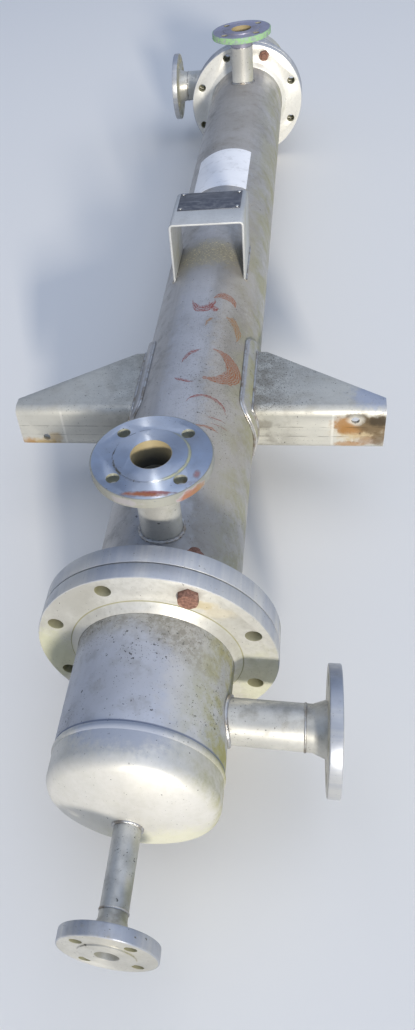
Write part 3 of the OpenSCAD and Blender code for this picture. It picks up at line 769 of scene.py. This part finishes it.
# End pipes and their small flanges: a stainless pipe on the tip of each head, with a turned
# flange on its end. Each pipe is welded to its head and to the neck of its flange.
PIPE_STEEL = (0.64, 0.63, 0.58)
PIPE_DULL = (0.48, 0.47, 0.43)
END_BOLT_CIRCLE = 0.0425
END_HOLE = 0.007
END_EDGE = 0.001
END_FOOT_BEAD = 0.0052
END_FOOT_LIFT = 0.0008
END_NECK_BEAD = 0.0036
NECK_SINK = 0.0006
FINE_STEP = 0.0018
pipe_finish = weathered_steel(
    "pipe_steel", tone=PIPE_STEEL, dull=PIPE_DULL, grain=(1, 1, 1), bare=0.5, lichen=1.0, dust=0.4)


def finish_nozzle(name, axis, bolt_circle, hole, **look):
    """Finishes a pipe and its flange, and gives the pipe's box and radius."""
    finish_piece(name + "_pipe", pipe_finish)
    finish_turned(name + "_flange", axis, bolt_circle, hole, **look)
    low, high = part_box(name + "_pipe")
    across = 0 if axis == ALONG else 1
    return low, high, (high[across] - low[across]) / 2


for end, outward in (("near", -1), ("far", 1)):
    low, high, pipe_radius = finish_nozzle(end + "_end", ALONG, END_BOLT_CIRCLE, END_HOLE,
                                           edge=END_EDGE, algae=0.6, lichen=0.3)
    head_low, head_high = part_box(end + "_head")
    foot_y, neck_y = (head_low[1], low[1]) if outward < 0 else (head_high[1], high[1])
    foot = ring_points((0, foot_y, axis_z), pipe_radius + END_FOOT_LIFT, RIGHT, UP)
    neck = ring_points((0, neck_y, axis_z), pipe_radius - NECK_SINK, RIGHT, UP)
    weld_bead(end + "_end_foot_weld", foot, END_FOOT_BEAD, step=FINE_STEP)
    weld_bead(end + "_end_neck_weld", neck, END_NECK_BEAD, step=FINE_STEP)

# Side pipes and flanges: a stainless pipe out of the side of each bonnet, to the right at the
# near end and to the left, with a larger flange, at the far end. A saddle weld joins each pipe
# to its barrel, and a ring of weld joins it to its flange.
NOZZLE_BOLT_CIRCLE = 0.0625
FAR_SIDE_BOLT_CIRCLE = 0.080
NOZZLE_HOLE = 0.009
FOOT_LIFT = 0.0012
SIDE_FOOT_BEAD = 0.0066
NECK_BEAD = 0.0040
SADDLE_STEPS = 120


def saddle_points(y, pipe_radius, outward, sideways):
    """The seam of a pipe that leaves the vessel outwards, in the vessel's own roundness."""
    outward, sideways = Vector(outward), Vector(sideways)
    points = []
    for angle in turn_angles(SADDLE_STEPS):
        beside = pipe_radius * math.cos(angle)
        reach = math.sqrt(SHELL_RADIUS ** 2 - beside ** 2) + FOOT_LIFT
        points.append(Vector((0, y + pipe_radius * math.sin(angle), axis_z))
                      + reach * outward + beside * sideways)
    return points


for end, side, bolt_circle in (("near", 1, NOZZLE_BOLT_CIRCLE), ("far", -1, FAR_SIDE_BOLT_CIRCLE)):
    low, high, pipe_radius = finish_nozzle(end + "_side", RIGHT, bolt_circle, NOZZLE_HOLE,
                                           lichen=0.3)
    y = (low[1] + high[1]) / 2
    neck_x = high[0] if side > 0 else low[0]
    foot = saddle_points(y, pipe_radius + FOOT_LIFT, (side, 0, 0), UP)
    neck = ring_points((neck_x, y, axis_z), pipe_radius - NECK_SINK, ALONG, UP)
    weld_bead(end + "_side_foot_weld", foot, SIDE_FOOT_BEAD)
    weld_bead(end + "_side_neck_weld", neck, NECK_BEAD, step=FINE_STEP)

# Top pipes and flanges: stainless pipes that stand on the shell, with turned flanges, welded as
# the side ones are but with coarser saddle welds. The near flange has red and orange wax on its
# face and rim, and its face is tinted blue as a painted reflection of the sky. The rim of the far
# flange is painted green, and the bores of both darken downwards with painted shade.
GREEN_PAINT = (0.29, 0.50, 0.23)
# Painted reflection: blue tones that stand for the sky on the face of the near top flange.
FACE_SKY_REFLECTION = (0.58, 0.64, 0.74)
FACE_SKY_REFLECTION_DULL = (0.50, 0.54, 0.61)
VIOLET_STEEL = (0.42, 0.42, 0.53)
VIOLET_DULL = (0.33, 0.32, 0.39)
STEP_FILM = (0.33, 0.33, 0.15)
STEP_RADIUS = 0.051
RIM_FILM = (0.25, 0.24, 0.17)
BORE_YELLOW = (0.38, 0.295, 0.13)
# Painted shade: the dark that fills the bores further down.
BORE_PAINTED_SHADE = (0.05, 0.043, 0.025)
BORE_WALL, BORE_LIP = 0.0275, 0.0285
TOP_FOOT_BEAD = 0.0076
COARSE_STEP = 0.0038
top_y = middle("near_top_flange")[1]
top_low, top_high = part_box("near_top_flange")
top_z = top_high[2]
TOP_RIM_RADIUS = (top_high[0] - top_low[0]) / 2
near_top_marks = (
    (WAX_ORANGE, (0.000, top_y - 0.072, top_z), (0.030, 0.0050, 0.01), 0.95),
    (WAX_RED, (0.018, top_y - 0.068, top_z), (0.026, 0.0030, 0.01), 0.8),
    (WAX_RED, (0.064, top_y - 0.034, top_z), (0.005, 0.008, 0.01), 0.7),
    (WAX_ORANGE, (0.066, top_y - 0.058, top_z - 0.014), (0.03, 0.032, 0.012), 0.9),
    (WAX_RED, (-0.030, top_y - 0.080, top_z - 0.010), (0.04, 0.016, 0.009), 0.4),
)


def yellow_bore(tree, coords, colour, cover):
    """A yellow film inside the bore of a top flange, darkened further down by painted shade."""
    radius = tree.nodes["ring_radius"].outputs["Value"]
    inside = fade(tree, radius, BORE_WALL, BORE_LIP, 0.9, 0.0)
    z = split_place(tree, coords)[2]
    height = calc(tree, "ADD", z, times(tree, mottle(tree, coords, 60.0), 0.014))
    # painted shade, darker further down the bore
    shade_depth = fade(tree, height, top_z - 0.030, top_z - 0.004, 0.9, 0.0)
    film = tint(tree, shade_depth, BORE_YELLOW, BORE_PAINTED_SHADE)
    return tint(tree, inside, colour, film), highest(tree, cover, inside)


def near_top_wear(tree, coords, colour, cover):
    """A dull film on the rim, a yellow one along the right of the raised face, and black smudges
    along its left."""
    radius = tree.nodes["ring_radius"].outputs["Value"]
    rim = on_rim(tree, radius, TOP_RIM_RADIUS, 0.0025, 0.0013, 0.75)
    worn = times(tree, rim, fade(tree, cover, 0.2, 0.6, 1.0, 0.0))
    colour = tint(tree, worn, colour, RIM_FILM)
    x = split_place(tree, coords)[0]
    along_step = distance(tree, radius, STEP_RADIUS)
    patches = fade(tree, mottle(tree, coords, 75.0, 4.0, 0.6), 0.38, 0.58, 0.3, 1.0)
    film = times(tree, fade(tree, along_step, 0.0004, 0.0032, 0.8, 0.0), patches,
                 fade(tree, x, 0.0, 0.040))
    smudge = times(tree, fade(tree, along_step, 0.0006, 0.0020, 0.9, 0.0),
                   fade(tree, patches, 0.6, 0.9), fade(tree, x, -0.030, 0.010, 1.0, 0.0))
    colour = tint(tree, film, colour, STEP_FILM)
    colour = tint(tree, smudge, colour, LICHEN)
    return yellow_bore(tree, coords, colour, highest(tree, cover, rim, film, smudge))


def green_rim(tree, coords, colour, cover):
    """Worn green paint on the rim of the far top flange, and the same yellow film and painted
    shade in its bore.
    """
    colour, cover = yellow_bore(tree, coords, colour, cover)
    radius = tree.nodes["ring_radius"].outputs["Value"]
    worn = fade(tree, mottle(tree, coords, 90.0, 6.0, 0.7), 0.40, 0.58, 0.30, 1.0)
    paint = times(tree, on_rim(tree, radius, TOP_RIM_RADIUS, 0.003, 0.0015), worn)
    return tint(tree, paint, colour, GREEN_PAINT), highest(tree, cover, paint)


top_looks = {
    # the near face's blue tone is a painted reflection of the sky
    "near": {"tone": FACE_SKY_REFLECTION, "dull": FACE_SKY_REFLECTION_DULL, "bare": 0.95, "anisotropy": 0.95,
             "lichen": 0.1, "dust": 0.05, "marks": near_top_marks, "extra": near_top_wear},
    "far": {"tone": VIOLET_STEEL, "dull": VIOLET_DULL, "bare": 0.7, "roughness": 0.58,
            "extra": green_rim},
}
for end in ("near", "far"):
    low, high, pipe_radius = finish_nozzle(end + "_top", UP, NOZZLE_BOLT_CIRCLE, NOZZLE_HOLE,
                                           **top_looks[end])
    y = (low[1] + high[1]) / 2
    foot = saddle_points(y, pipe_radius + FOOT_LIFT, UP, RIGHT)
    neck = ring_points((0, y, high[2]), pipe_radius - NECK_SINK, RIGHT, ALONG)
    weld_bead(end + "_top_foot_weld", foot, TOP_FOOT_BEAD, step=COARSE_STEP, ripple=0.6)
    weld_bead(end + "_top_neck_weld", neck, NECK_BEAD, step=FINE_STEP)

# Lugs: bent steel channels welded to curved pads on both sides of the shell. They are speckled
# by the shell and scratched along, and their outer ends are stained where a beam rusted on them,
# with a pale ring round the hole. A bluish tip on the right one is a painted reflection of the
# sky.
STAIN_AMBER = (0.30, 0.15, 0.045)
STAIN_BROWN = (0.03, 0.021, 0.01)
STAIN_PINK = (0.22, 0.115, 0.065)
STAIN_TAN = (0.42, 0.29, 0.11)
STAIN_UMBER = (0.12, 0.08, 0.04)
# Painted reflection: a blue that stands for the sky on the upper tip of the right lug.
TIP_SKY_REFLECTION = (0.26, 0.33, 0.50)
BEAM_LINE = (0.74, 0.72, 0.66)
BEAM_EDGE = 0.2445
SCRATCHES = (0.155, 0.176)
PAD_CORNER = 0.030
PAD_CORNER_STEPS = 8
PAD_THICKNESS = 0.006
PAD_EDGE = 0.0012
PAD_BEAD = 0.0056
PAD_SEAM_LIFT = 0.0016
LUG_EDGE = 0.001
LUG_BEAD = 0.0062
LUG_SEAM_LIFT = 0.0008
SEAM_STEP = 0.004
TO_THE_FRONT = (0, -1, 0)
LUG_STEEL = (0.62, 0.605, 0.54)
LUG_DULL = (0.52, 0.51, 0.46)
web_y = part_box("right_lug")[0][1]
lug_stains = {
    # colour, centre, size, strength
    "right": ((STAIN_TAN, (0.296, web_y, 0.172), (0.052, 0.02, 0.034), 0.7),
              (STAIN_AMBER, (0.266, web_y, 0.184), (0.024, 0.02, 0.020), 0.9),
              (STAIN_AMBER, (0.276, web_y, 0.172), (0.028, 0.02, 0.012), 0.9),
              (STAIN_UMBER, (0.314, web_y, 0.181), (0.034, 0.02, 0.024), 0.9),
              (STAIN_BROWN, (0.321, web_y, 0.190), (0.024, 0.02, 0.012), 0.8),
              (STAIN_BROWN, (0.284, web_y, 0.201), (0.024, 0.02, 0.006), 0.6),
              (STAIN_PINK, (0.306, web_y, 0.146), (0.026, 0.02, 0.012), 0.55),
              (STAIN_UMBER, (0.324, web_y, 0.150), (0.016, 0.02, 0.020), 0.8),
              (STAIN_AMBER, (0.274, web_y, 0.137), (0.030, 0.02, 0.008), 0.75),
              (LUG_STEEL, (0.282, web_y, 0.192), (0.015, 0.02, 0.013), 0.75),
              # the bluish tip is a painted reflection of the sky
              (TIP_SKY_REFLECTION, (0.318, web_y + 0.040, 0.216), (0.046, 0.046, 0.012), 0.6)),
    "left": ((STAIN_TAN, (-0.293, web_y, 0.131), (0.042, 0.02, 0.015), 0.85),
             (STAIN_AMBER, (-0.319, web_y, 0.135), (0.016, 0.02, 0.013), 0.65),
             (STAIN_TAN, (-0.264, web_y, 0.147), (0.014, 0.02, 0.016), 0.55)),
}


def lug_wear(tree, coords, colour, cover):
    """Specks and a dark haze by the shell, scratches along the web, and a bare line where the
    beam ended."""
    x, _, z = split_place(tree, coords)
    out = calc(tree, "ABSOLUTE", x)
    amount = fade(tree, x, -0.1, 0.1, 0.55, 1.0)
    front = facing(tree, TO_THE_FRONT)
    thick = times(tree, fade(tree, out, 0.11, 0.26, 3.0, 0.4), amount,
                  fade(tree, front, 0.5, 0.95, 1.0, 0.35))
    dots = highest(tree, specks(tree, coords, 520.0, thick),
                   specks(tree, coords, 240.0, times(tree, thick, 0.7)))
    colour = tint(tree, times(tree, dots, 0.7), colour, LICHEN)
    haze = times(tree, fade(tree, out, 0.11, 0.21, 0.6, 0.0), amount,
                 fade(tree, mottle(tree, coords, 34.0, 5.0, 0.6), 0.40, 0.62))
    colour = tint(tree, haze, colour, DIRT)
    face = fade(tree, front, 0.75, 0.95)
    off_edge = distance(tree, out, BEAM_EDGE)
    line = times(tree, face, fade(tree, off_edge, 0.0014, 0.0026, 0.55, 0.0))
    colour = tint(tree, line, colour, BEAM_LINE)
    worn = fade(tree, mottle(tree, coords, 30.0, 3.0, 0.6, (1, 1, 6)), 0.42, 0.60)
    for height in SCRATCHES:
        scratch = times(tree, face, worn,
                        fade(tree, distance(tree, z, height), 0.0003, 0.0009, 0.6, 0.0))
        colour = tint(tree, scratch, colour, STAIN_BROWN)
    return colour, highest(tree, cover, dots)


def pad_outline(node, side):
    """The edge of a lug pad: a rectangle with round corners, on the roundness of the shell."""
    low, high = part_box(node)
    points = []
    for sign_y, sign_z, start in ((1, 1, 0), (-1, 1, 90), (-1, -1, 180), (1, -1, 270)):
        centre_y = (high[1] if sign_y > 0 else low[1]) - sign_y * PAD_CORNER
        centre_z = (high[2] if sign_z > 0 else low[2]) - sign_z * PAD_CORNER
        for turn in range(PAD_CORNER_STEPS + 1):
            angle = math.radians(start + 90 * turn / PAD_CORNER_STEPS)
            points.append((0, centre_y + PAD_CORNER * math.cos(angle),
                           centre_z + PAD_CORNER * math.sin(angle)))
    points = even_points(points, SEAM_STEP, True)
    for point in points:
        reach = math.sqrt(SHELL_RADIUS ** 2 - (point.z - axis_z) ** 2) + PAD_SEAM_LIFT
        point.x = side * reach
    return points


def lug_seam(node, side):
    """The seam of a lug on its pad: along the upper gusset, down the web, and along the lower."""
    low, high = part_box(node)
    points = even_points([(0, high[1], high[2]), (0, low[1], high[2]), (0, low[1], low[2]),
                          (0, high[1], low[2])], SEAM_STEP, False)
    reach = SHELL_RADIUS + PAD_THICKNESS + LUG_SEAM_LIFT
    for point in points:
        point.x = side * math.sqrt(reach ** 2 - (point.z - axis_z) ** 2)
    return points


pad_finish = weathered_steel("pad_steel", grain=(1, 1, 1), lichen=0.8, algae=0.8)
for name, side in (("left", -1), ("right", 1)):
    finish_piece(name + "_lug_pad", pad_finish, PAD_EDGE)
    finish_piece(name + "_lug", weathered_steel(
        name + "_lug_steel", grain=(0.04, 1, 1), tone=LUG_STEEL, dull=LUG_DULL, bare=0.6,
        roughness=0.58, lichen=0.8, algae=0.2, dust=0.2, marks=lug_stains[name],
        extra=lug_wear), LUG_EDGE)
    weld_bead(name + "_pad_weld", pad_outline(name + "_lug_pad", side), PAD_BEAD)
    weld_bead(name + "_lug_weld", lug_seam(name + "_lug", side), LUG_BEAD, False)

# Nameplate bracket: a bridge bent from one stainless plate and welded by its feet to the top of
# the shell. A dark blank plate is riveted to the far half of its top.
BRACKET_STEEL = (0.58, 0.59, 0.58)
BRACKET_DULL = (0.46, 0.465, 0.46)
BRACKET_EDGE = 0.0006
BRACKET_BEAD = 0.0052
BRACKET_SEAM_OUT = 0.0008
BRACKET_SEAM_SINK = 0.0002
PLATE_BLACK = (0.1, 0.105, 0.122)
PLATE_WORN = (0.20, 0.205, 0.22)
PLATE_SCUFFED = (0.30, 0.30, 0.31)
PLATE_EDGE = 0.0003

finish_piece("nameplate_bracket", weathered_steel(
    "bracket_steel", grain=(1, 1, 1), tone=BRACKET_STEEL, dull=BRACKET_DULL, bare=0.45,
    roughness=0.6, lichen=0.3, algae=0.3, dust=0.1), BRACKET_EDGE)
bracket_low, bracket_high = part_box("nameplate_bracket")
foot_z = axis_z + math.sqrt(SHELL_RADIUS ** 2 - bracket_high[0] ** 2) - BRACKET_SEAM_SINK
for name, foot_x in (("left", bracket_low[0] - BRACKET_SEAM_OUT),
                     ("right", bracket_high[0] + BRACKET_SEAM_OUT)):
    seam = [(foot_x, end_y, foot_z) for end_y in (bracket_low[1], bracket_high[1])]
    weld_bead(name + "_bracket_weld", seam, BRACKET_BEAD, False)

plate_finish, tree, shader, coords = start_finish("dark_plate")
wear = fade(tree, mottle(tree, coords, 70.0, 6.0, 0.65), 0.42, 0.68)
scuffs = fade(tree, mottle(tree, coords, 90.0, 2.0, 0.5, (0.15, 3, 1)), 0.60, 0.68, 0.0, 0.6)
colour = tint(tree, wear, PLATE_BLACK, PLATE_WORN)
set_look(tree, shader, tint(tree, scuffs, colour, PLATE_SCUFFED),
         fade(tree, wear, 0.0, 1.0, 0.36, 0.6), 0.5)
finish_piece("nameplate", plate_finish, PLATE_EDGE)

# Rivets of the nameplate: small domed steel heads, one at each corner of the plate. One head is
# made from half a ball, pressed flatter, and copied to the four corners.
RIVET_RADIUS = 0.0036
RIVET_SIDES, RIVET_RINGS = 20, 12
RIVET_FLATNESS = 0.55
RIVET_INSET = 0.0065
RIVET_SINK = 0.0002
plate_low, plate_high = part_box("nameplate")
bpy.ops.mesh.primitive_uv_sphere_add(
    segments=RIVET_SIDES, ring_count=RIVET_RINGS, radius=RIVET_RADIUS)
first_rivet = bpy.context.object
bpy.ops.object.mode_set(mode="EDIT")
bpy.ops.mesh.select_all(action="SELECT")
bpy.ops.mesh.bisect(plane_co=(0, 0, 0), plane_no=UP, use_fill=True, clear_inner=True)
bpy.ops.mesh.select_all(action="SELECT")
bpy.ops.transform.resize(value=(1, 1, RIVET_FLATNESS))
bpy.ops.object.mode_set(mode="OBJECT")
bpy.ops.object.shade_smooth_by_angle(angle=math.radians(50))
coat(first_rivet, weld_finish)
for x in (plate_low[0] + RIVET_INSET, plate_high[0] - RIVET_INSET):
    for y in (plate_low[1] + RIVET_INSET, plate_high[1] - RIVET_INSET):
        rivet = bpy.data.objects.new("nameplate_rivet", first_rivet.data.copy())
        bpy.context.collection.objects.link(rivet)
        rivet.data.transform(Matrix.Translation((x, y, plate_high[2] - RIVET_SINK)))
        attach(rivet, "root")
bpy.data.objects.remove(first_rivet)

# Bolts and nuts: carbon steel hexagons, brown with rust, of which two are left in each pair of
# end flanges. Fine rings on their shanks stand for the thread.
RUST_BROWN = (0.29, 0.15, 0.105)
RUST_DARK = (0.13, 0.062, 0.044)
RUST_BRIGHT = (0.46, 0.28, 0.20)
THREAD_PITCH = 0.002
BOLT_EDGE = 0.0004
NUT_EDGE = 0.0006

bolt_finish, tree, shader, coords = start_finish("rusty_bolts")
scale_spots = mottle(tree, coords, 240.0, 6.0, 0.7)
colour = tint(tree, fade(tree, scale_spots, 0.35, 0.65), RUST_BROWN, RUST_DARK)
bright = fade(tree, mottle(tree, coords, 90.0, 4.0, 0.6, move=(1, 2, 3)), 0.52, 0.70, 0.0, 0.6)
set_look(tree, shader, tint(tree, bright, colour, RUST_BRIGHT), 0.85)
y = split_place(tree, coords)[1]
thread = calc(tree, "SINE", times(tree, y, 2 * math.pi / THREAD_PITCH))
emboss(tree, shader, calc(tree, "ADD", scale_spots, times(tree, thread, 0.3)), 0.4, 0.0003)
for end in ("near", "far"):
    finish_piece(end + "_bolts", bolt_finish, BOLT_EDGE)
    finish_piece(end + "_nuts", bolt_finish, NUT_EDGE)
